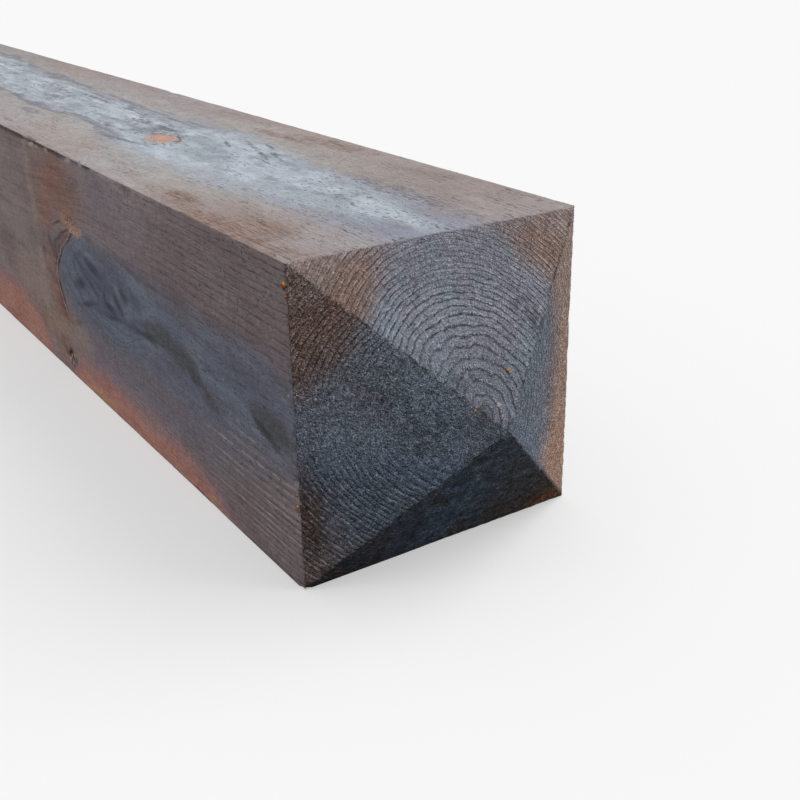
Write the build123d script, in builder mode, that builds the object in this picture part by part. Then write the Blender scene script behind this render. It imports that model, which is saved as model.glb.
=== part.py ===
from build123d import *

import os
from math import cos, radians, sin

# Gate post: one length of square-sawn softwood, treated with creosote, lying on one of
# its long faces. +X runs along the post towards its weathered top and +Z is up. The
# origin is on the floor, under the middle of the post's length and width.
# All lengths are in millimetres and all angles in degrees.

# Sawn stock
post_length = 2400.0  # foot to tip, as sold (8 ft)
post_side = 200.0  # square section across the sawn faces (8 in)
arris_radius = 1.2  # how far the saw-sharp long edges are rubbed down by handling

# Four-way weathered top
weather_slope = 33.0  # each sloping cut, measured from a square cut across the post
tip_flat = 4.0  # width of the blunt point where the four cuts just miss each other

foot_x = -post_length / 2
tip_x = post_length / 2
axis_height = post_side / 2  # the post's own centre line above the floor
face_count = 4

with BuildPart() as gate_post:
    # The baulk as it leaves the rip saw: a square section over the whole length.
    with BuildSketch(Plane.YZ.offset(foot_x)):
        with Locations((0, axis_height)):
            Rectangle(post_side, post_side)
    extrude(amount=post_length)
    fillet(gate_post.edges().filter_by(Axis.X), arris_radius)

    # The top: one sloping saw cut towards each long face. Each cut starts at the edge
    # of the blunt tip and runs out at the shoulder, so rain is shed on all four sides.
    for face in range(face_count):
        turn = radians(face * 360 / face_count)
        outward = Vector(0, cos(turn), sin(turn))
        tip_edge = Vector(tip_x, 0, axis_height) + outward * (tip_flat / 2)
        slope = radians(weather_slope)
        cut_normal = Vector(cos(slope), 0, 0) + outward * sin(slope)
        split(bisect_by=Plane(origin=tip_edge, z_dir=cut_normal), keep=Keep.BOTTOM)

gate_post.part.label = "gate_post"

os.makedirs("parts", exist_ok=True)
export_step(gate_post.part, "parts/gate_post.step")
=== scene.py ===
from math import cos, hypot, pi, radians, sin, tan

import bmesh
import bpy
import numpy as np
from mathutils import Matrix, Vector, kdtree


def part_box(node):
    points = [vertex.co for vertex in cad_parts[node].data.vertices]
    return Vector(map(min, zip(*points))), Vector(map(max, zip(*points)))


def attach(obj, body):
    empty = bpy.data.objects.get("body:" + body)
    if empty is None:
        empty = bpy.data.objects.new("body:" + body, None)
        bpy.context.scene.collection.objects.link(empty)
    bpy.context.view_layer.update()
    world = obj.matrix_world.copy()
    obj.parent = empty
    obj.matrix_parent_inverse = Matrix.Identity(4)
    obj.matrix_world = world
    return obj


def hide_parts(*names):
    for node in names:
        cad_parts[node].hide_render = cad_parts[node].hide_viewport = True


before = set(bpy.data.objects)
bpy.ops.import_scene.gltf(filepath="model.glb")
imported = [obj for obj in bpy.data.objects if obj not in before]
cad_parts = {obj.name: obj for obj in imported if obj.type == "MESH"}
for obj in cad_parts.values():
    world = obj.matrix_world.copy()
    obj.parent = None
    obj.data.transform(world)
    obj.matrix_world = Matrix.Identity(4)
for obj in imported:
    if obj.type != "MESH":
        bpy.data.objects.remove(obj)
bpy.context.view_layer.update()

# The gate post
# One baulk of redwood, a European softwood, rip-sawn square, cut to four weathering slopes at the top and
# pressure-treated with creosote. What shows is the tree itself: rings round a wandering pith, knots, and a
# slate-blue heart in brown sapwood. So its growth is worked out first, and shape and colour follow that.

MM = 0.001  # the timber is measured in millimetres, the frame in metres

low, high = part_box("gate_post")
foot_x = low.x / MM
tip_x = high.x / MM
half = (high.y - low.y) / MM / 2
axis_height = (low.z + high.z) / MM / 2
weather_slope = radians(33)  # each sloping cut, from a square cut across the post
tip_half = 2.0  # half the width of the blunt point
shoulder_x = tip_x - (half - tip_half) * tan(weather_slope)
arris_wear = 1.2  # how far in the sharp long edges are rubbed

# Where the pith runs: distance back from the shoulder, then its place across the post and above the floor
pith_stations = (-64, 60, 180, 300, 360, 430, 520, 700, 900, 1150, 1500, 1900, 2336)
pith_across = (-11, -13, -14, -12, -10, 1, 3, 2, 20, 34, 22, 4, -8)
pith_height = (111, 110, 109, 109, 110, 110, 110, 108, 110, 113, 108, 103, 106)

inner_ring = 5.8  # mm of growth in a year when the tree was young
outer_ring = 2.9  # and when it was old
slowing_radius = 50.0  # where the growth slowed down
slowing_width = 5.5
tree_taper = 0.004  # every ring is 4 mm wider, a metre nearer the foot

heart_radius = 94.6
# How the heart's edge leaves a circle: by how many mm, towards which direction, and how many times round
heart_lobes = ((7.0, -74, 1), (6.9, 71, 2), (2.5, 50, 3), (2.0, -3, 4), (2.3, -36, 5))

# Each knot: distance back from the shoulder, direction round the pith in degrees from +Y towards up, half its
# length and width at the face, how far the rings swell over it, how far that swelling reaches towards the
# foot, towards the tip and across, and how far out from the pith its own wood reaches
out_of_face = 400
branch_rise = 0.12  # a branch climbs this much towards the tip on its way out
pith_size = 8.0
knot_start = 0.35  # a knot's width near the pith, as a part of its width at the face
knot_raggedness = 0.16
swell_fall, swell_power = 1.1, 1.3  # how fast and how sharply the rings sink back beside a knot
calm_radius = 20.0  # nearer the pith than this the rings don't swell fully
knots = (
    (376, 93, 23, 14, 15, 58, 78, 26, out_of_face),
    (416, 227, 13, 9, 8, 30, 30, 16, 100),
    (392, -6, 17, 13, 13, 50, 60, 20, out_of_face),
    (366, 292, 20, 14, 12, 50, 60, 20, out_of_face),
    (1296, 62, 19, 13, 13, 55, 60, 22, out_of_face),
    (1322, 178, 21, 15, 15, 55, 70, 24, out_of_face),
    (1338, 300, 15, 12, 12, 45, 55, 20, out_of_face),
    (1954, 18, 18, 13, 12, 50, 60, 20, out_of_face),
    (1980, 128, 20, 14, 14, 50, 65, 22, out_of_face),
    (1942, 246, 14, 11, 12, 45, 50, 20, out_of_face),
)

# The branch that died inside the near face left a swelling with a steep rim, which the saw cut off flat: its
# distance back, direction, swell, height of the flat, reach towards the foot, the tip and across, and lean
eye_back, eye_direction, eye_swell, eye_flat = 362, 192, 24, 6.5
eye_foot, eye_tip, eye_side, eye_lean = 48, 112, 45, 0.75
eye_rise, eye_top = 1.35, 0.35  # where its rim starts to rise and where it is full, in those reaches

# What makes each ring uneven: by how many mm the trunk bulges, and by how many rings a ring wavers
trunk_bulge, trunk_lump, heart_bulge = 1.3, 0.5, 2.0
ring_waver, ring_crinkle, sapwood_part = 0.24, 0.17, 0.35


def hills(places, size, seed):
    """Smooth random hills from -1 to 1. places are in mm, and size is one hill's reach along x, y and z."""
    cell = places / np.asarray(size, float)
    corner = np.floor(cell).astype(np.int64)
    part = cell - corner
    part = part * part * (3 - 2 * part)
    total = np.zeros(len(places))
    primes = np.array((73856093, 19349663, 83492791))  # they scatter neighbouring cells far apart
    seed_step, scatter = 40503, 1274126177
    for offset in np.ndindex(2, 2, 2):
        mixed = (corner + offset) @ primes + seed * seed_step
        mixed = (mixed ^ (mixed >> 13)) * scatter
        value = ((mixed ^ (mixed >> 16)) & 0xFFFF) / 0x8000 - 1
        total += value * np.prod(np.where(offset, part, 1 - part), axis=1)
    return total


def between(start, end, value):
    """0 below start, 1 above end, and a smooth rise from one to the other. Falls where end is below start."""
    part = np.clip((value - start) / (end - start), 0, 1)
    return part * part * (3 - 2 * part)


def smooth_path(stations, values, where):
    """A soft curve through the stations."""
    spread = 40.0
    shifts = (-spread, -spread / 2, 0, spread / 2, spread)
    return sum(np.interp(where + shift, stations, values) for shift in shifts) / len(shifts)


radius_step, last_radius = 0.5, 260
ring_radii = np.arange(0, last_radius, radius_step)
slowed = 1 + np.exp((ring_radii - slowing_radius) / slowing_width)
ring_widths = outer_ring + (inner_ring - outer_ring) / slowed
rings_grown = np.cumsum(radius_step / ring_widths)


def along_branch(across, rise, direction):
    """How far out along a branch, and how far to its side, each place lies."""
    out_y, out_z = cos(radians(direction)), sin(radians(direction))
    return across * out_y + rise * out_z, rise * out_y - across * out_z


def growth(places):
    """What the tree grew at each place: its ring, counted from the pith, the depth in mm inside the heart,
    the depth in a knot, 1 at its middle and 0 at its rim, and the way from the pith, across and up."""
    back = shoulder_x - places[:, 0]
    across = places[:, 1] - smooth_path(pith_stations, pith_across, back)
    rise = places[:, 2] - smooth_path(pith_stations, pith_height, back)
    radius = np.hypot(across, rise)
    turn = np.arctan2(rise, across)
    radius = radius - tree_taper * back * between(0, 40, radius)
    radius += trunk_bulge * hills(places, (210, 55, 55), 1) + trunk_lump * hills(places, (60, 22, 22), 2)
    in_knot = np.full(len(places), -1.0)
    for station, direction, long_half, wide_half, swell, reach_foot, reach_tip, reach_side, wood_end in knots:
        outward, sideways = along_branch(across, rise, direction)
        lengthwise = station - back - branch_rise * (outward - half)
        cone = knot_start + (1 - knot_start) * np.clip(outward, 0, None) / half
        rim = np.hypot(lengthwise / (long_half * cone), sideways / (wide_half * cone))
        rim *= 1 + knot_raggedness * hills(places, (11, 6, 6), 4)
        ahead = between(0, calm_radius, outward)
        reach_long = np.where(lengthwise > 0, reach_tip, reach_foot)
        flow = np.hypot(lengthwise / reach_long, sideways / reach_side)
        radius -= swell * ahead * np.exp(-swell_fall * flow ** swell_power)
        core = np.where((outward > pith_size) & (outward < wood_end), 1 - rim, -1.0)
        in_knot = np.maximum(in_knot, np.clip(core, -1, 1))
    outward, sideways = along_branch(across, rise, eye_direction)
    lengthwise = eye_back - back - branch_rise * (outward - half) + eye_lean * sideways
    flow = np.hypot(lengthwise / np.where(lengthwise > 0, eye_tip, eye_foot), sideways / eye_side)
    sawn_off = np.minimum(eye_swell * between(eye_rise, eye_top, flow), eye_flat)
    radius -= between(0, calm_radius, outward) * sawn_off
    edge = heart_radius + sum(
        swell * np.cos(count * (turn - radians(direction))) for swell, direction, count in heart_lobes
    )
    edge += heart_bulge * hills(places, (90, 18, 18), 3)
    ring = np.interp(np.clip(radius, 0, None), ring_radii, rings_grown)
    # No ring is quite round: each wavers, and less so in the straight-grown sapwood
    waver = ring_waver * hills(places, (90, 8, 8), 39) + ring_crinkle * hills(places, (60, 3.2, 3.2), 40)
    ring += waver * (sapwood_part + (1 - sapwood_part) * between(-12, 14, edge - radius))
    return ring, edge - radius, in_knot, np.stack([across, rise, 0 * across], axis=1)


# The surface is a fine net, 1.2 mm between lines on the weathered top, where the end grain's shape shows, and
# wider down the length. Each row of the net is one loop round the post.
top_step, near_step, far_step, foot_step = 1.235, 2.4, 6.4, 2.4
spots = []
faces = []


def lines_across(step):
    """The net's lines across one side, in mm from its middle, with one more just inside each arris."""
    inner = half - arris_wear - step
    even = np.linspace(-inner, inner, round(2 * inner / step) + 1)
    return np.concatenate([[-half, arris_wear - half], even, [half - arris_wear, half]])


def lay_loop(x, lines):
    """One loop round the post at x: the numbers of its spots, and how far round each is, in sides."""
    one_side = lines[:-1]
    flat = np.full(len(one_side), half)
    y = np.concatenate([one_side, flat, -one_side, -flat])
    z = np.concatenate([-flat, one_side, flat, -one_side])
    first = len(spots)
    spots.extend(zip([x] * len(y), y, z + axis_height))
    round_post = np.concatenate([side + (one_side + half) / (2 * half) for side in range(4)] + [[4.0]])
    return np.arange(first, len(spots)), round_post


def join_loops(ahead, behind):
    """Faces between a loop and the next one towards the foot, which may have a different number of spots."""
    (a, a_round), (b, b_round) = ahead, behind
    i = j = 0
    if len(a) == len(b):
        for i in range(len(a)):
            faces.append((a[i], a[i - 1], b[i - 1], b[i]))
        return
    while i < len(a) or j < len(b):
        if j == len(b) or (i < len(a) and a_round[i + 1] <= b_round[j + 1]):
            faces.append((a[(i + 1) % len(a)], a[i], b[j % len(b)]))
            i += 1
        else:
            faces.append((a[i % len(a)], b[j], b[(j + 1) % len(b)]))
            j += 1


def close_end(loop, lines, end_x, steepness, facing):
    """Covers an end inside its loop. The net's faces are split along the ridges, so that they stay sharp."""
    numbers = loop[0]
    last = len(lines) - 1
    grid = np.zeros((last + 1, last + 1), int)
    grid[:last, 0] = numbers[:last]
    grid[last, :last] = numbers[last:2 * last]
    grid[last:0:-1, last] = numbers[2 * last:3 * last]
    grid[0, last:0:-1] = numbers[3 * last:]
    for i in range(1, last):
        for j in range(1, last):
            from_axis = max(abs(lines[i]), abs(lines[j]))
            grid[i, j] = len(spots)
            spots.append((end_x - max(from_axis - tip_half, 0) * steepness, lines[i], lines[j] + axis_height))
    for i in range(last):
        for j in range(last):
            a, b, c, d = grid[i, j], grid[i + 1, j], grid[i + 1, j + 1], grid[i, j + 1]
            ridge_rises = (lines[i] + lines[i + 1]) * (lines[j] + lines[j + 1]) > 0
            halves = ((a, b, c), (a, c, d)) if ridge_rises else ((a, b, d), (b, c, d))
            for corners in halves:
                faces.append(corners[::facing])


stretches = (
    # how far back from the shoulder it starts and ends, the net's lines, and the first and last step along
    (0, 28, lines_across(top_step), 1.25, 2.6),
    (30, 470, lines_across(near_step), 2.8, 6.5),
    (478, shoulder_x - foot_x - 34, lines_across(far_step), 14, 14),
    (shoulder_x - foot_x - 28, shoulder_x - foot_x, lines_across(foot_step), 5, 1.5),
)
loops = []
for start, end, lines, first_step, last_step in stretches:
    rows = round(2 * (end - start) / (first_step + last_step))
    part = np.linspace(0, 1, rows + 1)
    growing = part * first_step + part ** 2 * (last_step - first_step) / 2
    for back in start + (end - start) * growing / growing[-1]:
        loops.append(lay_loop(shoulder_x - back, lines))
for ahead, behind in zip(loops, loops[1:]):
    join_loops(ahead, behind)
close_end(loops[0], lines_across(top_step), tip_x, tan(weather_slope), 1)
close_end(loops[-1], lines_across(foot_step), foot_x, 0, -1)

post_mesh = bpy.data.meshes.new("gate_post_timber")
places = np.array(spots)
post_mesh.from_pydata((places * MM).tolist(), [], faces)
facing = np.zeros(len(places) * 3)
post_mesh.vertices.foreach_get("normal", facing)
facing = facing.reshape(-1, 3)

ring, in_heart, in_knot, from_pith = growth(places)
back = shoulder_x - places[:, 0]
across = places[:, 1]
height = places[:, 2]
hair = 0.01  # mm, less than any real difference of place
far_away = 99  # mm, for a spot with no such edge near it
along_y = np.abs(across)
along_z = np.abs(height - axis_height)
from_axis = np.maximum(along_y, along_z)
on_top = back < -hair
on_foot = places[:, 0] < foot_x + hair
ridge_spread = hypot(1, cos(weather_slope))
to_ridge = np.where(on_top, (from_axis - np.minimum(along_y, along_z)) / ridge_spread, far_away)
to_shoulder = np.where(on_top, (half - from_axis) / cos(weather_slope), back)
to_arris = np.where(on_top | on_foot, far_away, half - np.minimum(along_y, along_z))
to_foot = np.where(on_foot, half - from_axis, places[:, 0] - foot_x)
to_edge = np.minimum(np.minimum(to_ridge, to_shoulder), np.minimum(to_arris, to_foot))
end_grain = np.where(on_top | (on_foot & (to_foot > 0.1)), 1.0, 0.0)
on_side = 1 - end_grain

# How cleanly the saw cut the end grain, from torn to clean. The rings stand out where it is clean: most where
# a slope faces up and towards the far and lower corners, least at the pith and along the upper edge.
late = between(0.62, 0.86, ring % 1) * between(1.0, 0.96, ring % 1)
facing_up = np.clip(facing[:, 2], -1, 1)
cleanly_cut = 0.26 + 1.0 * facing_up + 0.32 * hills(places, (34, 34, 34), 34) + 0.2 * between(0, 60, across)
cleanly_cut += 0.66 * between(108, 50, height) * between(-5, -45, across)
cleanly_cut += 0.40 * between(0, 60, across) * between(0.6, 0.2, facing_up)
cleanly_cut += 0.80 * between(125, 165, height) * between(-35, -70, across) * between(0.3, 0.1, facing_up)
cleanly_cut *= 0.85 + 0.15 * between(12, 26, np.hypot(across - pith_across[0], height - pith_height[0]))
cleanly_cut *= 1 - 0.60 * between(166, 182, height) * between(-54, -26, across) * between(80, 50, across)
cleanly_cut += 0.35 * on_foot
cleanly_cut = np.clip(cleanly_cut, 0.05, 1)

# Relief, in mm out from the flat sawn face. First the rough surface: how high its hills are in mm, their size
# along x, y and z, their seed, and where they lie.
relief = np.zeros(len(places))
for hill_height, hill_size, seed, where in (
    (0.20, (2.4, 2.4, 2.4), 11, end_grain),
    (0.16, (7, 7, 7), 12, end_grain),
    (0.35, (160, 70, 70), 14, on_side),
    (0.10, (16, 3.4, 3.4), 15, on_side),
):
    relief += hill_height * where * hills(places, hill_size, seed)

# Then grooves along the latewood of each ring, and scratches that the saw left across the faces
end_groove, side_groove = 0.36, 0.10
relief -= end_groove * end_grain * late * cleanly_cut * between(-0.4, 0.6, hills(places, (6, 6, 6), 13))
relief -= side_groove * on_side * late
saw_depth = 0.10 + 0.12 * between(300, 60, back)
relief -= on_side * saw_depth * between(0.2, 0.9, hills(places, (5.2, 60, 60), 16))

# Knots stand a little proud of the shrunken wood round them, with a groove at the rim
knot_height, knot_groove = 0.35, 0.5
relief += on_side * knot_height * between(0, 0.3, in_knot)
relief -= on_side * knot_groove * between(-0.22, 0, in_knot) * between(0.14, 0, in_knot)

# Wear along the edges, deeper by fits and starts, and most where the saw broke out at the shoulder
wear_reach = 1.6
fine_net = between(44, 24, back)
ragged = fine_net * hills(places, (7, 7, 7), 17) + (1 - fine_net) * hills(places, (30, 7, 7), 42)
edge_wear = 0.32 + 0.22 * ragged + 0.20 * fine_net * hills(places, (2.2, 2.2, 2.2), 18)
edge_wear += 0.55 * between(0.15, 0.9, hills(places, (3.2, 3.2, 3.2), 20)) * between(3, 0.5, np.abs(back))
arris_chips = between(0.55, 0.95, hills(places, (26, 26, 26), 19))
edge_wear += 1.1 * arris_chips * on_side
knocked = between(190, 280, back) * between(470, 420, back)
knocked *= between(150, 190, height) * between(-60, -90, across)
edge_wear += 1.2 * knocked * between(-0.2, 0.7, hills(places, (27, 12, 12), 41))
# It is stacked on its straightest edges, so the lowest ones are hardly worn
relief -= edge_wear * np.exp(-to_edge / wear_reach) * between(-6, 12, height)


def hollow(centre, reach, depth):
    """Wood knocked out of a place, deepest at its centre."""
    distance = np.linalg.norm((places - centre) / reach, axis=1)
    rough = 1 + 0.35 * hills(places, (5, 5, 5), 21)
    return depth * rough * between(1.0, 0.25, distance)


near_y = -half
for back_mm, y, z, reach, depth in (
    # distance back from the shoulder, across and up, its reach in mm along x, y and z, and its depth
    (0, near_y, 0, (7, 6, 6), 1.4),  # the lowest corner knocked off
    (450, near_y, 2 * half, (26, 4, 5), 2.6),  # a nick in the arris
    (358, near_y, 143, (22, 9, 8), 1.6),  # torn out above the dead branch's swelling
    (419, near_y, 17, (9, 9, 7), 2.6),  # a bark pit
    (0, near_y, 71, (4, 4, 3), 1.6),  # a pit at the shoulder
    (81, near_y, 23, (3, 6, 4.5), 1.8),  # a short check
    (379, -5, 2 * half, (8, 3.5, 5), 1.8),  # a notch in the upper knot
    (410, near_y, 12, (5, 6, 4), -1.5),  # the bark that is left stands proud
    (shoulder_x - tip_x, 0, axis_height, (6, 7, 7), 1.0),  # the worn point
):
    relief -= hollow((shoulder_x - back_mm, y, z), reach, depth)

resting = (height < hair) & (on_side > 0)  # nothing stands below the face that it lies on
relief[resting] = np.minimum(relief[resting], 0)

shaped = places + facing * relief[:, None]
post_mesh.vertices.foreach_set("co", (shaped * MM).ravel())

# What the finish needs to know at each spot
upper_face = on_side * between(2 * half - 1.5, 2 * half - 0.2, height)
near_face = on_side * between(1.5, 0.2, across + half)
end_soak = between(330, 20, back)

# Where the end grain goes near black: creosote along the near edge and at the pith, and low on the slopes,
# most on the near side, both creosote and painted shade
low_soak_and_shade = (0.12 + 0.30 * between(10, -40, across)) * between(112, 62, height)
edge_soak = 0.54 * between(-74, -92, across) * between(95, 62, height) * between(4, 26, height)
pith_soak = 0.34 * between(44, 8, np.hypot(across - 6, height - 116))
far_facet = end_grain * on_top * between(1.0, 4.0, across - along_z)
low_facet = end_grain * on_top * between(1.0, 4.0, axis_height - height - along_y)
soak_and_shade = end_grain * np.maximum(np.maximum(low_soak_and_shade, edge_soak), pith_soak) * (1 - far_facet)

# The bloom of salts lies where rain stands longest, over the heart of the upper face: the middle of the band
# and half its width, in mm, at each distance back from the shoulder
bloom_stations = (0, 100, 200, 260, 330, 410, 450, 520, 620, 720, 820, 920, 1020,
                  1240, 1320, 1560, 1900, 2120, 2336)
bloom_middle = (-2, -3, -7, -6, -4, -3, -1, 1, 3, 2, 4, 12, 36, 32, 28, 20, 4, 0, -4)
bloom_half = (26, 30, 41, 50, 54, 48, 30, 31, 37, 41, 42, 37, 28, 34, 42, 22, 44, 30, 16)
bloom = smooth_path(bloom_stations, bloom_half, back) - 20 * between(100, 0, back)
bloom -= np.abs(across - smooth_path(bloom_stations, bloom_middle, back))
none_near = -60
bloom = np.where(upper_face > 0, bloom, none_near)

# Along the foot of the near face the creosote washed thin and the wood went the colour of rust: how high
rust_stations = (0, 60, 115, 160, 240, 330, 385, 425, 455, 500, 560, 800, 1200, 2340)
rust_heights = (-30, -20, 4, 15, 19, 24, 16, -14, -12, 32, 38, 30, 22, 18)
rust = np.interp(back, rust_stations, rust_heights) - height
rust = np.where(across < 30 - half, rust, none_near)

# The steep foot-side rim of the swelling that the dead branch left in the near face: how far back it lies at
# each height, and so how far each spot is outside it
rim_heights = (50, 56, 66, 78, 90, 103, 117, 123, 137)
rim_backs = (388, 402, 410, 416, 420, 412, 398, 387, 366)
outside_rim = back - np.interp(height, rim_heights, rim_backs)
outside_rim = np.where((near_face > 0) & (height > 44) & (height < 141), outside_rim, -far_away)

# Marks that one look at the faces shows, by kind and face. Each has the two distances of its middle (back and
# up on the near face, back and across on the upper face, across and up on the end), half its length, half its
# width, and how it leans in degrees.
marks = {
    ("olive", "near"): (
        (26, 97, 24, 12, 10), (209, 100, 17, 8, 0), (184, 102, 18, 9, 4), (160, 98, 17, 9, 8),
        (138, 92, 14, 7, 30), (112, 82, 16, 5, 20),
    ),
    ("charcoal", "near"): (
        (236, 93, 44, 2.2, -4), (290, 88, 34, 2.2, -8), (303, 103, 4, 11, 0), (293, 95, 15, 3.2, 0),
        (274, 103, 14, 5, 42), (260, 114, 9, 6, 30), (318, 117, 34, 4, 12), (360, 97, 18, 5, -10),
        (344, 84, 30, 2.4, -16), (340, 107, 30, 2.6, 26), (128, 84, 20, 4, 24), (34, 88, 18, 3, 20),
    ),
    ("red_brown", "near"): (
        (428, 96, 30, 118, 0), (392, 168, 56, 34, 8), (412, 60, 22, 32, 0), (480, 34, 46, 12, 0),
    ),
    ("red_brown", "top"): (
        (74, -78, 46, 16, 0), (90, -92, 110, 12, 0), (168, -82, 26, 9, 0), (270, 84, 60, 10, 0),
        (330, 70, 60, 6, 0),
    ),
    ("red_brown", "end"): (
        (-68, 180, 30, 13, 34), (-86, 156, 34, 16, 62), (68, 178, 30, 15, -40), (-96, 48, 7, 22, 0),
        (88, 8, 24, 11, 20), (94, 60, 8, 40, 0),
    ),
    ("pale_tan", "near"): (
        (466, 60, 9, 62, 0), (466, 170, 8, 60, 0), (384, 40, 34, 20, 0), (440, 40, 60, 9, 0),
        (506, 64, 60, 22, 0),
    ),
    ("rosy", "near"): ((322, 56, 50, 12, 6), (210, 56, 90, 9, 0), (384, 34, 50, 12, 0)),
    ("dark_stain", "near"): (
        (450, 106, 7, 16, 0), (432, 26, 8, 6, 40), (425, 110, 5, 22, -30), (386, 58, 18, 5, -14),
        (82, 24, 4, 4, 0),
    ),
    ("dark_stain", "end"): (
        (-19, 129, 10, 6, 0), (-40, 100, 18, 14, 0), (-52, 116, 20, 10, -30), (40, 150, 9, 20, 20),
    ),
    ("dark_stain", "top"): ((379, -5, 7, 3, 0),),
    ("scuffed", "top"): (
        (420, 0, 30, 26, 0), (400, 14, 20, 8, 0), (668, -7, 30, 10, 6), (676, -12, 40, 6, 0),
        (708, -33, 24, 7, 0), (561, 46, 11, 4, 0), (600, -54, 40, 8, 0), (562, -85, 20, 5, 0),
        (84, 36, 90, 10, 0), (470, 4, 34, 18, 0), (740, 12, 44, 14, 0),
    ),
    ("thin_bloom", "top"): ((296, -14, 50, 14, 0), (350, 12, 24, 16, 0)),
    ("curl", "top"): (
        (304, 33, 30, 2.4, 16), (262, 21, 30, 2.4, 15), (238, 11, 18, 2.2, 6), (250, 27, 26, 1.8, 14),
        (288, 41, 20, 1.8, 12), (320, 20, 20, 1.8, 20), (404, 8, 40, 3, 6), (396, -40, 44, 2.6, -8),
        (470, -24, 50, 3, 0), (640, 24, 90, 3, 0), (530, 24, 60, 3, 4),
    ),
    ("striped", "near"): ((44, 46, 74, 32, 0),),
    ("blue_wash", "near"): ((150, 64, 130, 22, 0),),
    ("bark", "near"): ((415, 17, 14, 9, 0),),
    ("eye_rim", "near"): ((402, 92, 24, 56, 0), (356, 132, 56, 18, 0)),
    ("swirl", "near"): ((330, 92, 110, 40, 0),),
    ("torn", "near"): ((352, 145, 15, 6, 8), (368, 142, 18, 5, 14)),
    ("pale_chip", "near"): (
        (235, 163, 4, 2.4, 0), (446, 196, 9, 3.2, 0), (429, 196, 6, 2.6, 0), (404, 197, 6, 2.4, 0),
        (352, 197, 8, 2.4, 0), (322, 198, 5, 2.0, 0), (296, 198, 6, 2.0, 0), (573, 64, 5, 4, 0),
        (411, 12, 6, 3.5, 0),
    ),
    ("pale_chip", "end"): ((-1, 114, 2.4, 1.2, 0),),
    ("crystals", "near"): ((92, 101, 42, 20, 0), (6, 100, 10, 40, 0)),
}
on_face = {
    "near": (near_face, back, height),
    "top": (upper_face, back, across),
    "end": (end_grain * on_top, across, height),
}
marked = {}
raggedness = 0.22 * hills(places, (18, 9, 9), 37) + 0.10 * hills(places, (6, 3.5, 3.5), 38)
mark_fade = 1.5  # a mark has faded out at this many times its own reach, and is 0.5 at its edge
for (kind, face), middles in marks.items():
    strength, along, beside = on_face[face]
    for middle_along, middle_across, half_long, half_wide, lean in middles:
        turn = radians(lean)
        lengthwise = (along - middle_along) * cos(turn) + (beside - middle_across) * sin(turn)
        sideways = (beside - middle_across) * cos(turn) - (along - middle_along) * sin(turn)
        apart = np.hypot(lengthwise / half_long, sideways / half_wide) + raggedness
        depth = np.clip(mark_fade - apart, 0, mark_fade) * strength
        marked[kind] = np.maximum(marked.get(kind, 0), depth)

for name, values in {
    "ring": ring,
    "heart": in_heart,
    "knot": in_knot,
    "edge": np.clip(to_edge, 0, 20),
    "end_grain": end_grain,
    "side": on_side,
    "upper_face": upper_face,
    "near_face": near_face,
    "end_soak": end_soak,
    "soak_and_shade": soak_and_shade,
    "far_facet": far_facet,
    "low_facet": low_facet,
    "bloom": bloom,
    "rust": rust,
    "outside_rim": outside_rim,
    "facing_up": facing_up / 2 + 0.5,
    "cleanly_cut": cleanly_cut,
    "back": back * MM,
    "height": height / (2 * half),
    "across": across / half,
    **marked,
}.items():
    post_mesh.attributes.new(name, "FLOAT", "POINT").data.foreach_set("value", values.astype(np.float32))
way = post_mesh.attributes.new("from_pith", "FLOAT_VECTOR", "POINT")
way.data.foreach_set("vector", from_pith.astype(np.float32).ravel())
post_mesh.shade_smooth()


def linear(hex_colour):
    """An sRGB hex colour as the linear red, green, blue and alpha that a shader takes."""
    parts = [int(hex_colour[i:i + 2], 16) / 255 for i in (1, 3, 5)]
    return [part / 12.92 if part <= 0.04045 else ((part + 0.055) / 1.055) ** 2.4 for part in parts] + [1.0]


def add_node(tree, kind, inputs=(), stops=(), output=0, **settings):
    """Adds a node and gives back one of its outputs. inputs gives each socket, by name or number, a value or
    the output that it is linked to, and stops are a colour ramp's."""
    made = tree.nodes.new(kind)
    for name, value in settings.items():
        setattr(made, name, value)
    for socket, value in dict(inputs).items():
        if isinstance(value, bpy.types.NodeSocket):
            tree.links.new(value, made.inputs[socket])
        else:
            made.inputs[socket].default_value = value
    for number, (position, value) in enumerate(stops):
        ramp = made.color_ramp.elements
        stop = ramp[number] if number < 2 else ramp.new(position)
        stop.position = position
        stop.color = linear(value) if isinstance(value, str) else (value, value, value, 1)
    return made.outputs[output] if made.outputs else made


def new_material(name):
    """A material without any nodes yet, and its node tree."""
    material = bpy.data.materials.new(name)
    material.use_nodes = True
    material.node_tree.nodes.clear()
    return material, material.node_tree


def new_piece(name, mesh, material):
    """A mesh of this material, put into the scene as one piece."""
    mesh.materials.append(material)
    piece = bpy.data.objects.new(name, mesh)
    bpy.context.collection.objects.link(piece)
    return piece


# Redwood, creosoted and weathered. The sawn faces are matt and woolly: grey-brown sapwood with darker late
# wood, slate-blue heart, a pale bloom of salts on the heart of the upper face, and orange where the creosote
# is thin. The end grain drinks more creosote, so it is darker, with latewood rings that are darker still.
timber, tree = new_material("creosoted_redwood_sawn")
FACTOR, MIX_A, MIX_B, MIX_OUT = 0, 6, 7, 2  # the mix node's sockets and output for colours

at = add_node(tree, "ShaderNodeTexCoord", output="Object")
value = {
    name: add_node(tree, "ShaderNodeAttribute", output="Fac", attribute_name=name)
    for name in post_mesh.attributes.keys()
    if post_mesh.attributes[name].data_type == "FLOAT"
}

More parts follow.
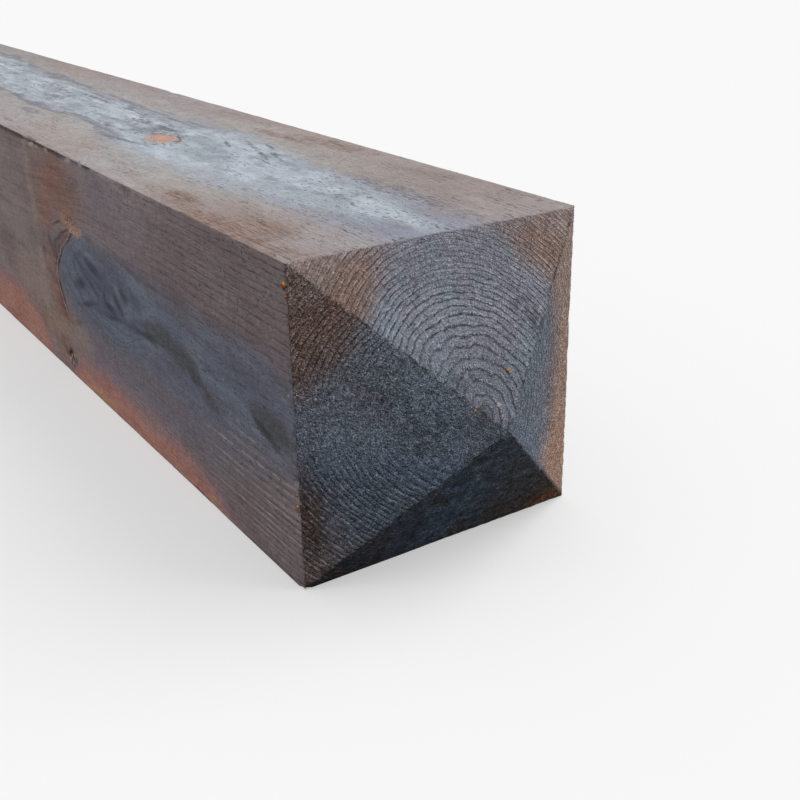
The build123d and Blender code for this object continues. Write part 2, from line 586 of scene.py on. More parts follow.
# Each random pattern's size in mm: along the post, across it, then its octaves
for name, along, across, octaves in (
    ("cloud", 170, 60, 3),
    ("blotch", 52, 22, 4),
    ("patch", 46, 13, 4),
    ("streak", 70, 5.5, 3),
    ("fibre", 22, 1.3, 3),  # real fibres are 0.03 mm wide, too fine to show
    ("fleck", 6.5, 1.7, 3),
    ("wool", 0.9, 0.9, 4),  # so is the pile of the cut fibres
    ("grit", 0.55, 0.55, 2),
    ("tuft", 5.5, 5.5, 3),
    ("saw", 2.3, 60, 3),
    ("curdle", 28, 15, 6),
    ("dash", 15, 1.1, 2),
    ("web", 1.9, 1.9, 3),
):
    sizes = [1 / (size * MM) for size in (along, across, across)]
    spread = add_node(tree, "ShaderNodeVectorMath", {0: at, 1: sizes}, operation="MULTIPLY")
    value[name] = add_node(tree, "ShaderNodeTexNoise", {"Vector": spread, "Scale": 1.0, "Detail": octaves})

# The torn end grain's lines: rays fan out from the pith, and short arcs of broken latewood lie along the
# rings, so both are drawn round it. Each has its parts in a radian round it, and its size along the radius.
way = add_node(tree, "ShaderNodeAttribute", output="Vector", attribute_name="from_pith")
direction = add_node(tree, "ShaderNodeVectorMath", {0: way}, operation="NORMALIZE")
radius = add_node(tree, "ShaderNodeVectorMath", {0: way}, output="Value", operation="LENGTH")
for name, in_radian, radial_mm in (("rays", 55.0, 4.5), ("arcs", 15.0, 0.85)):
    round_pith = add_node(tree, "ShaderNodeVectorMath", {0: direction, "Scale": in_radian}, operation="SCALE")
    outward = add_node(tree, "ShaderNodeMath", {0: radius, 1: radial_mm}, operation="DIVIDE")
    outward = add_node(tree, "ShaderNodeCombineXYZ", {2: outward})
    spread = add_node(tree, "ShaderNodeVectorMath", {0: round_pith, 1: outward}, operation="ADD")
    value[name] = add_node(tree, "ShaderNodeTexNoise", {"Vector": spread, "Scale": 1.0, "Detail": 3.0})

# The saw's teeth dragged the end grain's fibres aslant: short strokes, this long and this wide in mm
stroke_long, stroke_wide, stroke_lean = 3.2, 0.65, -28
value["strokes"] = add_node(tree, "ShaderNodeTexNoise", {
    "Vector": add_node(tree, "ShaderNodeMapping", {
        "Vector": at,
        "Rotation": (radians(stroke_lean), 0, 0),
        "Scale": (stroke_long * MM, stroke_long * MM, stroke_wide * MM),
    }, vector_type="TEXTURE"),
    "Scale": 1.0,
    "Detail": 2.0,
})

# Scattered specks, one in a cell of this size in mm
speck_size = 8.0
value["speck"] = add_node(tree, "ShaderNodeTexVoronoi", {"Vector": at, "Scale": 1 / (speck_size * MM)})

# Values worked out from others
for name, operation, parts in (
    ("middling", "SUBTRACT", ("patch", 0.5)),
    ("small_middling", "SUBTRACT", ("tuft", 0.5)),
    ("fine_middling", "SUBTRACT", ("wool", 0.5)),
    ("end_jag", "MULTIPLY", ("fine_middling", "end_grain")),
    ("jagged_ring", "MULTIPLY_ADD", ("end_jag", 0.55, "ring")),  # the saw tore the end grain's lines crooked
    ("ring_place", "FRACT", ("jagged_ring",)),
    ("ragged_heart", "MULTIPLY_ADD", ("middling", 20.0, "heart")),
    ("end_heart", "MULTIPLY_ADD", ("middling", 26.0, "heart")),
    ("ragged_bloom", "MULTIPLY_ADD", ("middling", 44.0, "bloom")),
    ("ragged_rust", "MULTIPLY_ADD", ("middling", 30.0, "rust")),
    ("ragged_rim", "MULTIPLY_ADD", ("small_middling", 9.0, "outside_rim")),
    ("ragged_knot", "MULTIPLY_ADD", ("small_middling", 0.45, "knot")),
    ("blotched_olive", "MULTIPLY_ADD", ("middling", 1.8, "olive")),
    ("ragged_olive", "MULTIPLY_ADD", ("small_middling", 1.2, "blotched_olive")),
    ("knot_turns", "MULTIPLY", ("knot", 6.0)),
    ("knot_rings", "FRACT", ("knot_turns",)),
    ("heart_tone", "MULTIPLY_ADD", ("blotch", 0.4, "patch")),
    ("far_heart", "MULTIPLY_ADD", ("small_middling", 14.0, "heart")),
    ("web_middling", "SUBTRACT", ("web", 0.5)),
    ("crack", "ABSOLUTE", ("web_middling",)),  # thin crooked lines, where it is near 0
    ("rays_middling", "SUBTRACT", ("rays", 0.5)),
    ("check", "ABSOLUTE", ("rays_middling",)),  # and thin ones that run out from the pith
):
    inputs = {number: value.get(part, part) for number, part in enumerate(parts)}
    value[name] = add_node(tree, "ShaderNodeMath", inputs, operation=operation)

# Where in a year's ring the late and the early wood lie
for name, stops in (
    ("latewood", ((0.48, 0.0), (0.68, 0.50), (0.82, 1.0), (0.92, 1.0), (0.99, 0.0))),
    ("earlywood", ((0.00, 0.0), (0.10, 1.0), (0.26, 1.0), (0.44, 0.0))),
):
    value[name] = add_node(tree, "ShaderNodeValToRGB", {0: value["ring_place"]}, stops=stops)

# The finish, from the wood outwards. Each layer: how strong it is, its tone, and what limits it. A tone is a
# colour or a ramp along a value, and a ramp of numbers lightens or darkens what is under it. A limit is a
# face that the layer keeps to, or a value with where the layer starts and where it is full.
layers = (
    # Sapwood, greyer on the shaded sides, and darker where the end drew creosote in
    (1.0, ("cloud", ((0.3, "#ad9698"), (0.5, "#bfabab"), (0.68, "#c9b8b5"))), ()),
    (0.55, "#968991", (("end_soak", 0.0, 1.0),)),
    (1.0, ("cloud", ((0.3, "#9d908c"), (0.5, "#a69c9a"), (0.68, "#aaa4a6"))), ("upper_face",)),
    (0.3, "#94837f", (("blotch", 0.46, 0.66),)),
    (0.2, "#6f5f5c", (("latewood", 0.2, 1.0), ("patch", 0.36, 0.6))),
    (0.5, "#5d5052", (("latewood", 0.2, 1.0), "near_face", ("back", 0.3, 0.02), ("dash", 0.38, 0.6))),
    (0.4, "#a09cb0", ("near_face", ("back", 0.15, 0.24), ("back", 0.44, 0.28), ("blotch", 0.32, 0.56))),
    (0.3, "#9b9388", ("near_face", ("blotch", 0.44, 0.34), ("back", 0.34, 0.26))),
    (0.3, "#a5a49c", ("upper_face", ("ragged_bloom", -50.0, -16.0), ("end_soak", 1.0, 0.4))),
    (0.6, "#98807a", (("red_brown", -0.1, 1.2), "upper_face", ("blotch", 0.26, 0.54))),
    (0.56, "#97745c", (("red_brown", 0.2, 1.5), "upper_face", ("across", 0.2, -0.2), ("dash", 0.3, 0.54))),
    (0.8, ("streak", ((0.36, "#b68672"), (0.62, "#d2a08a"))),
     (("red_brown", 0.0, 1.4), "near_face", ("blotch", 0.14, 0.52))),
    (0.5, "#9498ad", (("blue_wash", 0.1, 1.2), ("patch", 0.26, 0.54))),
    # Slate-blue heart, with darker late wood and streaks
    (0.7, "#9a98a9",
     (("ragged_heart", -32.0, -10.0), "near_face", ("height", 0.48, 0.38), ("back", 0.42, 0.34),
      ("back", 0.06, 0.14))),
    (1.0, ("heart_tone", ((0.5, "#7b7f93"), (0.7, "#8d94a8"), (0.92, "#a2aabc"))),
     (("ragged_heart", -14.0, 9.0), ("back", 0.5, 0.42))),
    (0.25, "#747681", (("ragged_heart", -4.0, 6.0), ("latewood", 0.2, 1.0), ("tuft", 0.4, 0.6))),
    (0.4, "#666973",
     (("swirl", 0.2, 0.9), ("ragged_heart", -2.0, 4.0), ("latewood", 0.2, 1.0), ("patch", 0.44, 0.6))),
    (0.28, "#665b60",
     (("ragged_heart", -12.0, -4.0), ("ragged_heart", 3.0, -4.0), "near_face", ("back", 0.44, 0.38),
      ("blotch", 0.4, 0.56), ("height", 0.5, 0.6))),
    (0.5, "#a8949a", (("rosy", 0.0, 1.3), ("blotch", 0.24, 0.56))),
    (0.74, ("fleck", ((0.38, "#626466"), (0.62, "#817e79"))), (("ragged_olive", 0.22, 0.86),)),
    (0.66, "#484a53", (("charcoal", -0.1, 1.2), ("patch", 0.3, 0.52))),
    (0.6, "#a17366", (("ragged_rim", -2.0, 3.0), ("ragged_rim", 34.0, 10.0), ("patch", 0.3, 0.54))),
    (0.7, "#54464a",
     (("eye_rim", 0.3, 0.9), ("latewood", 0.3, 0.9), ("ragged_heart", 4.0, -3.0), ("tuft", 0.34, 0.54),
      ("ragged_rim", 0.0, 5.0))),
    (0.8, "#453b41", (("ragged_rim", -3.5, -1.0), ("ragged_rim", 2.4, 0.4), ("blotch", 0.28, 0.48))),
    (0.75, "#d6bdb2", (("ragged_rim", 1.4, 2.8), ("ragged_rim", 5.6, 3.8), ("fleck", 0.34, 0.52))),
    (0.55, "#54464a", (("ragged_rim", 5.5, 7.0), ("ragged_rim", 10.0, 8.0), ("fleck", 0.4, 0.56))),
    # Bloom, curdled, with dark streaks along its border
    (0.78, "#a4aab3", (("ragged_bloom", -16.0, 10.0),)),
    (0.62, "#b6bfca", (("ragged_bloom", -4.0, 20.0), ("curdle", 0.26, 0.56))),
    (0.32, "#cfd9e2", (("ragged_bloom", 2.0, 26.0), ("streak", 0.46, 0.62), ("cloud", 0.38, 0.58))),
    (0.36, "#d2dce4", (("ragged_bloom", 2.0, 20.0), ("curdle", 0.52, 0.66))),
    (0.42, "#838c97", (("ragged_bloom", 0.0, 18.0), ("curdle", 0.45, 0.36))),
    (0.4, "#7f8a93", (("ragged_bloom", -4.0, 10.0), ("fleck", 0.52, 0.62), ("tuft", 0.44, 0.58))),
    (0.66, "#88949a", (("thin_bloom", 0.1, 1.1), ("tuft", 0.3, 0.54))),
    (0.75, "#5c626c", (("curl", 0.2, 1.0), ("fleck", 0.36, 0.54))),
    (0.3, "#8b8084", ("upper_face", ("across", 0.5, 0.9), ("back", 0.38, 0.5))),
    (0.68, "#70727e",
     (("ragged_bloom", -9.0, -1.0), ("ragged_bloom", 10.0, 2.0), ("back", 0.36, 0.44),
      ("streak", 0.38, 0.52))),
    (0.62, "#74757f",
     (("ragged_bloom", -6.0, 6.0), ("streak", 0.5, 0.4), ("dash", 0.42, 0.56), ("back", 0.26, 0.52))),
    # Rust along the foot of the near face, with a purple upper edge
    (0.65, "#c7a3aa", (("ragged_rust", -26.0, -4.0),)),
    (0.9, ("blotch", ((0.36, "#dd9b8d"), (0.5, "#eba898"), (0.64, "#f3b6a2"))),
     (("ragged_rust", -14.0, 8.0), ("dash", 0.2, 0.44))),
    (0.55, "#fbc398", (("ragged_rust", 2.0, 16.0), ("streak", 0.46, 0.6), ("back", 0.5, 0.38))),
    (0.5, "#d6bdb0", (("pale_tan", 0.1, 1.0), ("cloud", 0.2, 0.5))),
    (0.66, "#e6dcd8",
     (("striped", 0.1, 0.9), ("earlywood", 0.2, 0.9), ("dash", 0.38, 0.56), ("streak", 0.4, 0.58))),
    (0.6, "#6f605a", (("dark_stain", 0.2, 1.1), "near_face", ("patch", 0.34, 0.6))),
    (0.8, ("tuft", ((0.39, "#3a2c27"), (0.5, "#8b6a5c"), (0.59, "#d8b09c"))), (("bark", 0.2, 0.9),)),
    (0.8, "#2f2726", (("bark", 0.2, 0.9), ("tuft", 0.5, 0.42), ("wool", 0.4, 0.56))),
    # Fibres, wool and saw marks of the sawn faces
    (1.0, ("fibre", ((0.28, 0.88), (0.5, 0.99), (0.75, 1.08))), ()),
    (1.0, ("wool", ((0.3, 0.68), (0.5, 1.0), (0.7, 1.27))), ()),
    (1.0, ("tuft", ((0.32, 0.9), (0.5, 1.0), (0.68, 1.12))), ()),
    (0.45, "#574a4c",
     (("dash", 0.58, 0.68), ("cloud", 0.36, 0.6), ("upper_face", 1.8, 0.0), ("back", 0.45, 0.1))),
    # Painted shade: a ragged dark strip along the near face just under its upper arris, as shade under the
    # worn edge
    (0.8, "#413639",
     ("near_face", ("edge", 5.5, 0.8), ("height", 0.6, 0.9), ("patch", 0.4, 0.54), ("back", 0.1, 0.26))),
    (0.16, "#5b4e4c", (("saw", 0.52, 0.68), ("blotch", 0.38, 0.6))),
    (0.55, "#6d5144", (("saw", 0.5, 0.62), "upper_face", ("red_brown", 0.3, 1.0), ("fibre", 0.4, 0.54))),
    (0.65, "#5f4a40", (("dash", 0.52, 0.6), "upper_face", ("red_brown", 0.4, 1.1))),
    (0.6, "#524a4d", (("fleck", 0.58, 0.68), ("patch", 0.4, 0.58), ("near_face", 2.4, 0.0))),
    (0.4, "#4e474b", (("fleck", 0.54, 0.62), ("end_soak", 0.2, 1.1), ("tuft", 0.42, 0.56))),
    (0.7, "#4a4347", (("wool", 0.57, 0.62), ("end_soak", 0.1, 0.8), "upper_face", ("tuft", 0.36, 0.54))),
    (0.6, "#5c5a61", (("scuffed", 0.3, 1.0), ("fleck", 0.48, 0.58))),
    (0.5, "#6a6b74", (("scuffed", 0.5, 1.2), ("tuft", 0.44, 0.56))),
    (0.85, "#4a3a3b", ("upper_face", ("dark_stain", 0.4, 0.9))),
    # End grain: woolly slate and brown, cut by latewood rings, rays and torn arcs
    # Painted shade: the end grain's base tones follow facing_up, darkest on the slope that faces down, for
    # the brown sapwood and the slate heart alike
    (1.0, ("facing_up", ((0.23, "#6b5b55"), (0.5, "#99827a"), (0.77, "#998680"))), ("end_grain",)),
    (1.0, ("facing_up", ((0.23, "#737b88"), (0.5, "#949fb1"), (0.77, "#8d95a3"))),
     ("end_grain", ("end_heart", -32.0, 12.0))),
    # Painted light: a blue sky tint on the heart where the slopes face sideways, low and on the near side
    (0.8, "#87a0bb",
     ("end_grain", ("end_heart", -6.0, 8.0), ("height", 0.5, 0.36), ("facing_up", 0.7, 0.58),
      ("across", 0.3, -0.1))),
    (0.72, "#967059", (("red_brown", 0.0, 1.1), "end_grain")),
    (0.92, ("height", ((0.3, "#dfb49d"), (0.8, "#c8ada1"))), ("far_facet", ("far_heart", 30.0, -12.0))),
    (0.35, "#8a7f84", ("end_grain", ("end_heart", -6.0, 3.0), ("cloud", 0.44, 0.58))),
    (0.35, "#7f9199", ("end_grain", ("end_heart", 0.0, 12.0), ("blotch", 0.5, 0.62))),
    # Near black where the end grain drank creosote, and painted shade low on the slopes that face down and
    # away from the light
    (1.0, "#29292f", (("soak_and_shade", 0.0, 1.0),)),
    (0.55, "#5c677d", ("low_facet", ("blotch", 0.4, 0.6), ("across", 0.4, 0.0))),
    (0.5, "#664e42", ("low_facet", ("blotch", 0.46, 0.36))),
    (0.4, "#86817f", ("low_facet", ("across", 0.0, 0.7))),
    (0.85, "#b57a5c", ("low_facet", ("red_brown", 0.1, 1.1))),
    (1.0, ("tuft", ((0.34, 0.55), (0.5, 1.0), (0.66, 1.6))), ("low_facet",)),
    (0.94, "#2b2c35",
     ("end_grain", ("latewood", 0.4, 1.0), ("cleanly_cut", 0.0, 0.85), ("end_heart", -70.0, 12.0),
      ("arcs", 0.36, 0.52), ("tuft", 0.3, 0.48))),
    (0.52, "#b9bac3", ("end_grain", ("earlywood", 0.3, 1.0), ("cleanly_cut", 0.1, 1.0), ("arcs", 0.44, 0.6))),
    (0.45, "#2f3138", (("dark_stain", 0.2, 1.1), "end_grain", ("tuft", 0.36, 0.58))),
    (1.0, ("wool", ((0.32, 0.5), (0.5, 0.98), (0.66, 1.36))), ("end_grain",)),
    (1.0, ("arcs", ((0.32, 0.76), (0.5, 1.0), (0.68, 1.14))), ("end_grain",)),
    (1.0, ("rays", ((0.32, 0.72), (0.5, 1.0), (0.7, 1.14))), ("end_grain",)),
    (1.0, ("grit", ((0.38, 0.36), (0.5, 0.94), (0.62, 1.9))),
     ("end_grain", ("facing_up", 0.98, 0.5), ("far_facet", 1.9, 0.0))),
    (1.0, ("strokes", ((0.34, 0.52), (0.5, 1.0), (0.64, 1.28))), ("end_grain", ("facing_up", 0.86, 0.5))),
    (0.9, ("crack", ((0.0, 0.3), (0.04, 1.0), (0.2, 1.04))), ("end_grain", ("cleanly_cut", 1.0, 0.4))),
    (0.9, ("check", ((0.0, 0.3), (0.03, 1.0), (0.2, 1.12))),
     ("end_grain", ("facing_up", 0.9, 0.5), ("tuft", 0.4, 0.54))),
    # Knots, torn wood, crystals, specks, and the pale fibres of worn edges
    (0.5, "#a9aba6", (("ragged_knot", -0.8, -0.05), "upper_face")),
    (1.0, ("knot_rings", ((0.2, "#c2a398"), (0.8, "#ae8c81"))), (("ragged_knot", -0.22, 0.34),)),
    (0.55, "#d0a188", (("ragged_knot", 0.3, 0.8), "upper_face")),
    (0.35, "#97705f", (("ragged_knot", 0.0, 0.2), ("fleck", 0.46, 0.6))),
    (0.65, "#5f6167", (("ragged_knot", -0.9, -0.1), ("ragged_knot", 0.06, -0.06), ("fleck", 0.46, 0.6))),
    (0.8, "#4d4543",
     (("ragged_knot", -0.2, -0.03), ("ragged_knot", 0.16, 0.0), ("tuft", 0.36, 0.5),
      ("across", -0.16, -0.06))),
    (0.95, ("wool", ((0.4, "#63443a"), (0.47, "#d39a84"), (0.57, "#ffdccb"))),
     (("torn", 0.1, 0.8), ("fleck", 0.32, 0.5))),
    (0.7, "#d8cec2", (("pale_chip", 0.5, 0.8), ("wool", 0.38, 0.56))),
    (0.8, "#d9dcde", (("crystals", 0.3, 0.9), ("speck", 0.17, 0.09), ("wool", 0.42, 0.54))),
    (0.65, "#423d40", (("speck", 0.15, 0.08), ("cloud", 0.44, 0.58))),
    (0.7, "#312d2f", (("edge", 1.6, 0.3), "end_grain", ("tuft", 0.5, 0.42))),
    (0.5, "#a79c93", (("edge", 1.2, 0.2), ("wool", 0.44, 0.62), ("tuft", 0.44, 0.6))),
)
face_borders = {"near_face": (0.4, 0.6), "upper_face": (0.4, 0.6), "end_grain": (0.4, 0.6),
                "far_facet": (0.2, 0.8), "low_facet": (0.2, 0.8)}
colour = linear("#a99899")  # the bare wood
# A smooth step stays between 0 and 1 by itself, and with its clamp off the shader has room for every layer
for strength, tone, limits in layers:
    how = "MIX"
    if isinstance(tone, str):
        shade = linear(tone)
    else:
        along, stops = tone
        shade = add_node(tree, "ShaderNodeValToRGB", {0: value[along]}, stops=stops)
        how = "MIX" if isinstance(stops[0][1], str) else "MULTIPLY"
    cover = strength
    for limit in limits:
        name, start, full = (limit, *face_borders[limit]) if isinstance(limit, str) else limit
        inputs = {"Value": value[name], "From Min": start, "From Max": full}
        limit = add_node(tree, "ShaderNodeMapRange", inputs, interpolation_type="SMOOTHSTEP", clamp=False)
        cover = add_node(tree, "ShaderNodeMath", {0: limit, 1: cover}, operation="MULTIPLY")
    colour = add_node(tree, "ShaderNodeMix", {FACTOR: cover, MIX_A: colour, MIX_B: shade}, output=MIX_OUT,
                      data_type="RGBA", blend_type=how)

# Heights in mm, for the fine relief that the net is too coarse to carry
fine_relief = 0.0
for name, height_mm, place in (
    ("fibre", 0.12, "side"),
    ("wool", 0.25, "side"),
    ("fleck", -0.22, "side"),
    ("saw", -0.22, "side"),
    ("latewood", -0.06, "side"),
    ("dash", -0.12, "side"),
    ("wool", 0.9, "end_grain"),
    ("arcs", 0.7, "end_grain"),
    ("latewood", -0.25, "end_grain"),
):
    part = add_node(tree, "ShaderNodeMath", {0: value[name], 1: value[place]}, operation="MULTIPLY")
    inputs = {0: part, 1: height_mm, 2: fine_relief}
    fine_relief = add_node(tree, "ShaderNodeMath", inputs, operation="MULTIPLY_ADD")
bump = add_node(tree, "ShaderNodeBump", {"Height": fine_relief, "Strength": 1.0, "Distance": MM})
roughness = add_node(tree, "ShaderNodeMapRange", {"Value": value["patch"], "To Min": 0.68, "To Max": 0.92})
wood = add_node(tree, "ShaderNodeBsdfPrincipled", {
    "Base Color": colour,
    "Roughness": roughness,
    "Normal": bump,
    "IOR": 1.5,
    "Specular IOR Level": 0.35,
})
add_node(tree, "ShaderNodeOutputMaterial", {"Surface": wood})

post = new_piece("creosoted_post", post_mesh, timber)
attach(post, "root")
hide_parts("gate_post")

# Torn fibres
# Slivers of the wood itself, lifted by the saw where it broke out along the shoulder, ridges and arrises.
# Each is a tapering strip of redwood a few millimetres long, still rooted in the timber.

fibre_runs = (
    # which edge, slivers in 100 mm, shortest and longest in mm, how far in mm they stray from it, how much
    # they crowd to its start, how far they lift, and how far they lean every way, as parts of their length
    ("shoulder", 52, 0.6, 1.8, 0.9, 1.0, (-0.15, 0.15), 0.16),
    ("ridge", 30, 0.5, 1.6, 0.9, 1.0, (-0.15, 0.15), 0.16),
    ("arris", 12, 1.2, 5.0, 0.9, 1.8, (0.02, 0.12), 0.08),
    ("foot", 22, 0.8, 2.4, 1.0, 1.0, (-0.15, 0.15), 0.16),
)
arris_run = 700  # mm back from the shoulder where the arrises still have slivers
mostly_short = 2.2
half_widths = 0.16, 0.34  # mm
flatness = 0.35, 0.7
root_depth = 0.35  # mm into the wood
least_height = 0.4  # mm above the ground
taper = 0.7
steps = 4
round_sliver = (0, 2 * pi / 3, 4 * pi / 3)
corners = [(-half, 0), (half, 0), (half, 2 * half), (-half, 2 * half)]
edges = []
for (y, z), (next_y, next_z) in zip(corners, corners[1:] + corners[:1]):
    edges.append(("shoulder", (shoulder_x, y, z), (shoulder_x, next_y, next_z)))
    edges.append(("foot", (foot_x, y, z), (foot_x, next_y, next_z)))
    edges.append(("ridge", (shoulder_x, y, z), (tip_x, 0, axis_height)))
    edges.append(("arris", (shoulder_x, y, z), (shoulder_x - arris_run, y, z)))
rooted = kdtree.KDTree(len(shaped))
for number, place in enumerate(shaped):
    rooted.insert(place, number)
rooted.balance()

chance = np.random.default_rng(7)
fibre_spots = []
fibre_faces = []
fibre_tones = []
for kind, in_100_mm, shortest, longest, stray, crowding, lifts, scatter in fibre_runs:
    for edge_kind, edge_start, edge_end in edges:
        if edge_kind != kind:
            continue
        edge_start, edge_end = Vector(edge_start), Vector(edge_end)
        for _ in range(round((edge_end - edge_start).length / 100 * in_100_mm)):
            along = chance.random() ** crowding
            aim = edge_start.lerp(edge_end, along) + Vector(chance.normal(0, stray, 3))
            root, number, _ = rooted.find(aim)
            outward = Vector(facing[number])
            length = shortest + (longest - shortest) * chance.random() ** mostly_short
            # The grain lies along the post, and on an arris a sliver lifts from either end
            grain = Vector((chance.choice((-1.0, 1.0)) if kind == "arris" else 1.0, 0, 0))
            lean = grain + outward * chance.uniform(*lifts) + Vector(chance.normal(0, scatter, 3))
            lean.normalize()
            bend = outward * chance.uniform(-0.3, 0.1) + Vector(chance.normal(0, 0.2, 3))
            sideways = lean.cross(outward).normalized()
            above = sideways.cross(lean)
            wide = chance.uniform(*half_widths)
            thick = wide * chance.uniform(*flatness)
            base = root - outward * root_depth
            end = base + lean * length + bend * (length / 2)
            if min(base.z, end.z) < least_height:
                continue
            first = len(fibre_spots)
            for step in range(steps):
                part = step / steps
                centre = base + lean * (length * part) + bend * (length * part * part / 2)
                narrow = (1 - part) ** taper
                for turn in round_sliver:
                    off_centre = sideways * (cos(turn) * wide * narrow) + above * (sin(turn) * thick * narrow)
                    fibre_spots.append(centre + off_centre)
            fibre_spots.append(end)
            fibre_faces.append((first + 2, first + 1, first))
            for step in range(steps - 1):
                for side in range(3):
                    a = first + 3 * step + side
                    b = first + 3 * step + (side + 1) % 3
                    fibre_faces.append((a, b, b + 3, a + 3))
            last = first + 3 * (steps - 1)
            for side in range(3):
                fibre_faces.append((last + side, last + (side + 1) % 3, first + 3 * steps))
            fibre_tones += [chance.random()] * (3 * steps + 1)

fibre_mesh = bpy.data.meshes.new("torn_fibres")
fibre_mesh.from_pydata([spot * MM for spot in fibre_spots], [], fibre_faces)
tones = fibre_mesh.attributes.new("tone", "FLOAT", "POINT")
tones.data.foreach_set("value", np.array(fibre_tones, np.float32))

# Redwood again, split along the grain instead of sawn: matt, paler where fresh wood shows, and near black
# where it soaked
split_wood, tree = new_material("creosoted_redwood_split")
fibre_length = 1.5  # mm, for the change of tone along one sliver
at = add_node(tree, "ShaderNodeTexCoord", output="Object")
scale = 1 / (fibre_length * MM)
along_sliver = add_node(tree, "ShaderNodeTexNoise", {"Vector": at, "Scale": scale, "Detail": 2.0})
mottled = add_node(tree, "ShaderNodeMath", {
    0: along_sliver,
    1: 0.5,
    2: add_node(tree, "ShaderNodeAttribute", output="Fac", attribute_name="tone"),
}, operation="MULTIPLY_ADD")
colour = add_node(tree, "ShaderNodeValToRGB", {0: mottled}, stops=(
    (0.35, "#33302f"), (0.70, "#6d6059"), (1.00, "#958a83"), (1.25, "#b7aca3")))
raised = add_node(tree, "ShaderNodeBump", {"Height": along_sliver, "Distance": 0.1 * MM})
split = add_node(tree, "ShaderNodeBsdfPrincipled", {
    "Base Color": colour,
    "Roughness": 0.75,
    "Normal": raised,
    "IOR": 1.5,
    "Specular IOR Level": 0.35,
})
add_node(tree, "ShaderNodeOutputMaterial", {"Surface": split})

fibres = new_piece("torn_fibres", fibre_mesh, split_wood)
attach(fibres, "root")

# Resin beads
# Drops of the tree's own resin that the warm creosote drew out. Each swelled out of the wood, ran a little
# way down and set hard, clear amber over the dark timber.

beads = (
    # its middle back from the shoulder, across and up, its radius, and how far it ran down, in mm
    (1.0, -99.4, 188.0, 1.8, 1.0),
    (0.6, -99.3, 181.5, 0.9, 0.3),
    (0.8, -99.3, 56.0, 1.3, 0.8),
    (1.6, -99.5, 63.0, 0.8, 0.2),
    (-56.0, 13.0, 134.0, 1.2, 0.5),
    (-55.0, -16.0, 113.5, 0.9, 0.2),
    (1350.0, 99.6, 160.0, 2.0, 1.5),
    (1322.0, 99.6, 96.0, 1.5, 1.0),
)
flattened = 0.35  # the part of a bead's height that it lost as it settled on the wood
proud = 0.18  # how far its middle stands off the wood, in radii
bead_mesh = bpy.data.meshes.new("resin_beads")
shape = bmesh.new()
for back_mm, across_mm, up_mm, radius_mm, run_mm in beads:
    aim = Vector((shoulder_x - back_mm, across_mm, up_mm))
    root, number, _ = rooted.find(aim)
    outward = Vector(facing[number])
    made = bmesh.ops.create_icosphere(shape, subdivisions=3, radius=1.0)
    for spot in made["verts"]:
        place = Vector(spot.co)
        lumps = 0.10 * sin(3.1 * place.x + 2.3 * place.y + back_mm) + 0.07 * sin(4.7 * place.z + across_mm)
        place *= radius_mm * (1 + lumps)
        # Flattened on to the wood, and drawn out downwards
        place -= outward * (place.dot(outward) * flattened)
        place.z -= run_mm * max(0.0, -place.z / radius_mm) ** 1.5
        spot.co = (root + outward * (radius_mm * proud) + place) * MM
shape.to_mesh(bead_mesh)
shape.free()
bead_mesh.shade_smooth()

# Pine resin set in the open air: amber, glossy, a little cloudy, with dust stuck in its skin
resin, tree = new_material("pine_resin_set")
cloud_size = 1.4  # mm
at = add_node(tree, "ShaderNodeTexCoord", output="Object")
scale = 1 / (cloud_size * MM)
cloudy = add_node(tree, "ShaderNodeTexNoise", {"Vector": at, "Scale": scale, "Detail": 3.0})
colour = add_node(tree, "ShaderNodeValToRGB", {0: cloudy},
                  stops=((0.35, "#7c4017"), (0.50, "#c2742c"), (0.66, "#eab45f")))
dusty = add_node(tree, "ShaderNodeMapRange", {"Value": cloudy, "To Min": 0.12, "To Max": 0.38})
raised = add_node(tree, "ShaderNodeBump", {"Height": cloudy, "Strength": 0.4, "Distance": 0.15 * MM})
amber = add_node(tree, "ShaderNodeBsdfPrincipled", {
    "Base Color": colour,
    "Roughness": dusty,
    "Normal": raised,
    "IOR": 1.54,
    "Subsurface Weight": 0.25,
    "Subsurface Radius": (1.0, 0.5, 0.2),
    "Subsurface Scale": 1.5 * MM,
})
add_node(tree, "ShaderNodeOutputMaterial", {"Surface": amber})

resin_beads = new_piece("resin_beads", bead_mesh, resin)
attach(resin_beads, "root")

# The floor
# A sheet of matt white paper, as in a studio. The camera sees it white apart from the post's soft shadow, and
# on the post it throws back no more light than a grey floor would.
floor_size = 60.0
floor_gap = 0.0003
backdrop_part = 0.45  # of what the camera sees of the floor is even white, and the rest takes the shadow
bpy.ops.mesh.primitive_plane_add(size=floor_size, location=(0, 0, -floor_gap))
floor = bpy.context.object
floor.name = "studio_floor"
paper, tree = new_material("matt_white_paper")
tone = add_node(tree, "ShaderNodeMix", {
    FACTOR: add_node(tree, "ShaderNodeLightPath", output="Is Camera Ray"),
    MIX_A: linear("#404040"),
    MIX_B: linear("#f7f7f7"),
}, output=MIX_OUT, data_type="RGBA")
matt = add_node(tree, "ShaderNodeBsdfPrincipled", {
    "Base Color": tone,
    "Roughness": 1.0,
    "Specular IOR Level": 0.0,
})
white = add_node(tree, "ShaderNodeEmission", {"Color": linear("#f7f7f7"), "Strength": 1.0})
part = add_node(tree, "ShaderNodeMath", {
    0: add_node(tree, "ShaderNodeLightPath", output="Is Camera Ray"),
    1: backdrop_part,
}, operation="MULTIPLY")
both = add_node(tree, "ShaderNodeMixShader", {0: part, 1: matt, 2: white})
add_node(tree, "ShaderNodeOutputMaterial", {"Surface": both})
floor.data.materials.append(paper)

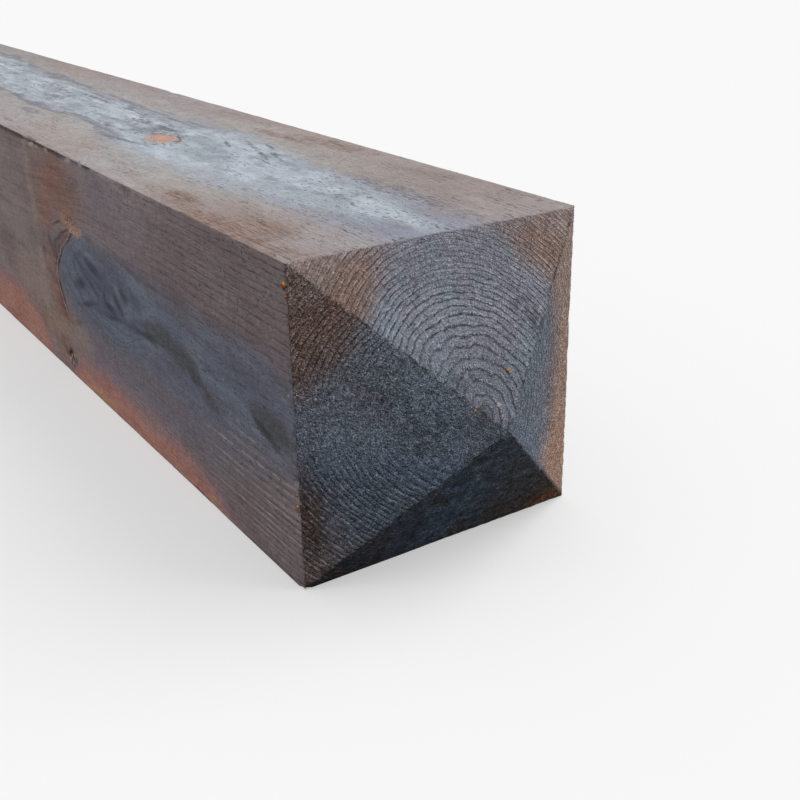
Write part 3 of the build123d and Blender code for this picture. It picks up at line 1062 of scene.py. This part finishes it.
# Light and camera
# Soft light from a wide overhead panel that is brightest straight above, and a little more of it from the far
# side, as under an open sky. Nothing here is metal or glass, so only the camera sees the backdrop white.
ambient_level = 0.90
horizon_part = 0.40
key_level = 0.42
key_from = Vector((0.20, 0.62, 0.75))
key_spread = radians(50)
world = bpy.data.worlds.new("soft_studio")
bpy.context.scene.world = world
world.use_nodes = True
tree = world.node_tree
tree.nodes.clear()
towards = add_node(tree, "ShaderNodeTexCoord", output="Generated")
skyward = add_node(tree, "ShaderNodeSeparateXYZ", {0: towards}, output="Z")
panel = add_node(tree, "ShaderNodeMapRange", {
    "Value": skyward,
    "To Min": horizon_part * ambient_level,
    "To Max": ambient_level,
})
ambient = add_node(tree, "ShaderNodeBackground", {"Color": (1, 1, 1, 1), "Strength": panel})
backdrop = add_node(tree, "ShaderNodeBackground", {"Color": linear("#f7f7f7"), "Strength": 1.0})
both = add_node(tree, "ShaderNodeMixShader", {
    0: add_node(tree, "ShaderNodeLightPath", output="Is Camera Ray"),
    1: ambient,
    2: backdrop,
})
add_node(tree, "ShaderNodeOutputWorld", {"Surface": both})

key = bpy.data.lights.new("soft_key", "SUN")
key.energy = key_level * pi
key.angle = key_spread
key_light = bpy.data.objects.new("soft_key", key)
key_light.rotation_mode = "QUATERNION"
key_light.rotation_quaternion = key_from.to_track_quat("Z", "Y")
bpy.context.collection.objects.link(key_light)

# The camera stands where the photograph's perspective puts it, and looks down along the post at its tip.
camera_place = Vector((1.6300, -0.3508, 0.3627))
camera_azimuth = radians(56.965)
camera_elevation = radians(23.690)
camera_roll = radians(-1.2136)
sensor_width = 36.0
lens = 49.607
camera = bpy.data.cameras.new("camera")
camera.sensor_width = sensor_width
camera.lens = lens
camera_object = bpy.data.objects.new("camera", camera)
level = cos(camera_elevation)
backward = Vector((sin(camera_azimuth) * level, -cos(camera_azimuth) * level, sin(camera_elevation)))
turned = backward.to_track_quat("Z", "Y").to_matrix() @ Matrix.Rotation(camera_roll, 3, "Z")
camera_object.matrix_world = Matrix.Translation(camera_place) @ turned.to_4x4()
bpy.context.collection.objects.link(camera_object)
bpy.context.scene.camera = camera_object
bpy.context.scene.view_settings.view_transform = "Standard"
